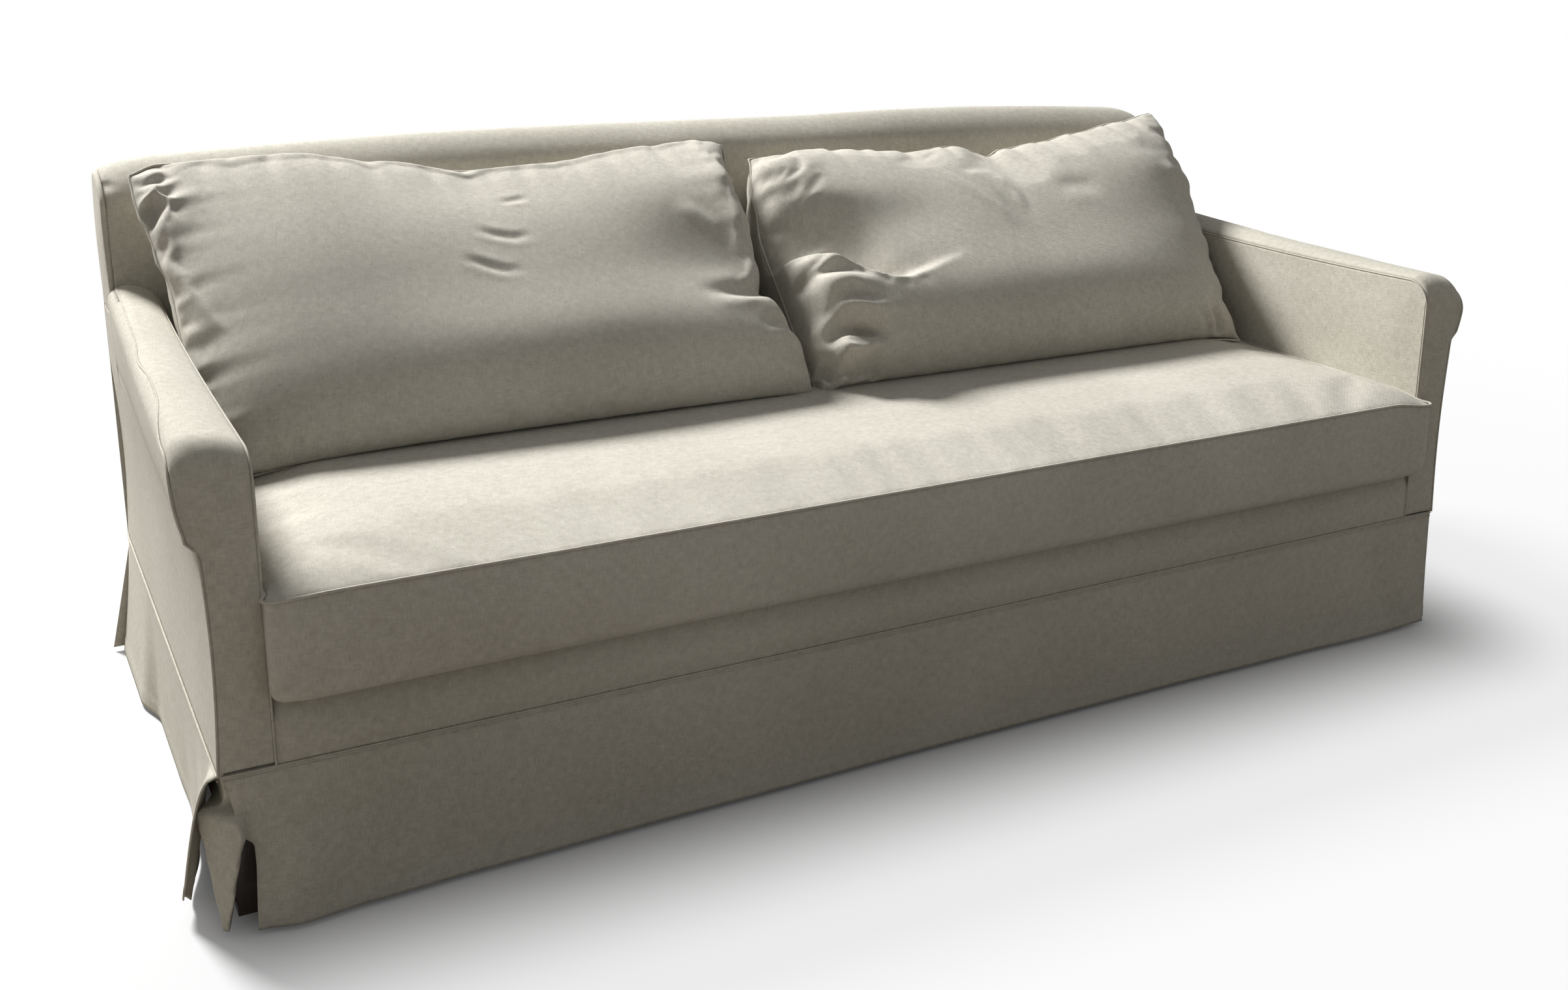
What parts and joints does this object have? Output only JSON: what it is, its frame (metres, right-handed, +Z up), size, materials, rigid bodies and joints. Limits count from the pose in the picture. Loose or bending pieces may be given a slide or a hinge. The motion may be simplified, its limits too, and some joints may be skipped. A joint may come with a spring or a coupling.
{
  "type": "camelback sofa",
  "caption": "Slipcovered camelback sofa with slim outward-rolled arms, a boxed bench seat cushion, loose slumped back cushions and a floor-length skirt over short hidden feet.",
  "frame": {"origin": "on the floor, midway between the two arms and midway between the frontmost and rearmost points", "axes": "+X along the sofa, to the right seen from the front; +Y from the front to the back; +Z up"},
  "size_m": [2.236, 1.038, 0.932],
  "materials": {
    "linen": "natural flax plain weave, matt, washed and slightly creased",
    "cushion_linen": "natural flax plain weave, matt, softly creased over loose filling",
    "lining": "plain cotton lining cloth, matt",
    "hardwood": "planed unfinished hardwood",
    "dark_wood": "dark stained hardwood, satin",
    "spring_steel": "plain drawn spring wire",
    "foam": "cut upholstery foam",
    "down_fill": "soft fill in a white cotton ticking",
    "black_cloth": "thin black spunbonded dust cloth"
  },
  "bodies": {
    "frame": {"front_rail": "hardwood", "back_rail": "hardwood", "rear_rail": "hardwood", "seat_stretcher": "hardwood", "back_top_rail": "hardwood", "back_lower_rail": "hardwood", "back_upright": "hardwood", "side_rail_left": "hardwood", "back_post_left": "hardwood", "arm_post_left": "hardwood", "arm_top_rail_left": "hardwood", "corner_block_front_left": "hardwood", "corner_block_back_left": "hardwood", "side_rail_right": "hardwood", "back_post_right": "hardwood", "arm_post_right": "hardwood", "arm_top_rail_right": "hardwood", "corner_block_front_right": "hardwood", "corner_block_back_right": "hardwood", "leg_front_left": "dark_wood", "leg_front_centre": "dark_wood", "leg_front_right": "dark_wood", "leg_back_left": "dark_wood", "leg_back_centre": "dark_wood", "leg_back_right": "dark_wood", "seat_spring_1": "spring_steel", "seat_spring_2": "spring_steel", "seat_spring_3": "spring_steel", "seat_spring_4": "spring_steel", "seat_spring_5": "spring_steel", "seat_spring_6": "spring_steel", "seat_deck": "lining", "back_support_sheet": "lining", "dust_sheet": "black_cloth", "front_border": "linen", "back_front_pad": "linen", "back_crest_pad": "linen", "back_outer_panel": "linen", "skirt_front": "linen", "skirt_back": "linen", "skirt_left": "linen", "skirt_right": "linen", "back_end_panel_left": "linen", "arm_band_left": "linen", "arm_inner_pad_left": "linen", "arm_outer_panel_left": "linen", "pleat_insert_front_left": "linen", "pleat_insert_back_left": "linen", "back_end_panel_right": "linen", "arm_band_right": "linen", "arm_inner_pad_right": "linen", "arm_outer_panel_right": "linen", "pleat_insert_front_right": "linen", "pleat_insert_back_right": "linen"},
    "seat_cushion": {"seat_cushion_cover": "cushion_linen", "seat_cushion_core": "foam"},
    "back_cushion_left": {"back_cushion_cover_left": "cushion_linen", "back_cushion_fill_left": "down_fill"},
    "back_cushion_right": {"back_cushion_cover_right": "cushion_linen", "back_cushion_fill_right": "down_fill"}
  },
  "joints": [
    {"name": "seat_cushion_lift", "type": "slide", "parent": "frame", "child": "seat_cushion", "axis": [0, 0, 1], "range_m": [0, 0.62]},
    {"name": "back_cushion_left_lift", "type": "slide", "parent": "seat_cushion", "child": "back_cushion_left", "axis": [0, 0, 1], "range_m": [0, 0.48]},
    {"name": "back_cushion_right_lift", "type": "slide", "parent": "seat_cushion", "child": "back_cushion_right", "axis": [0, 0, 1], "range_m": [0, 0.48]}
  ]
}
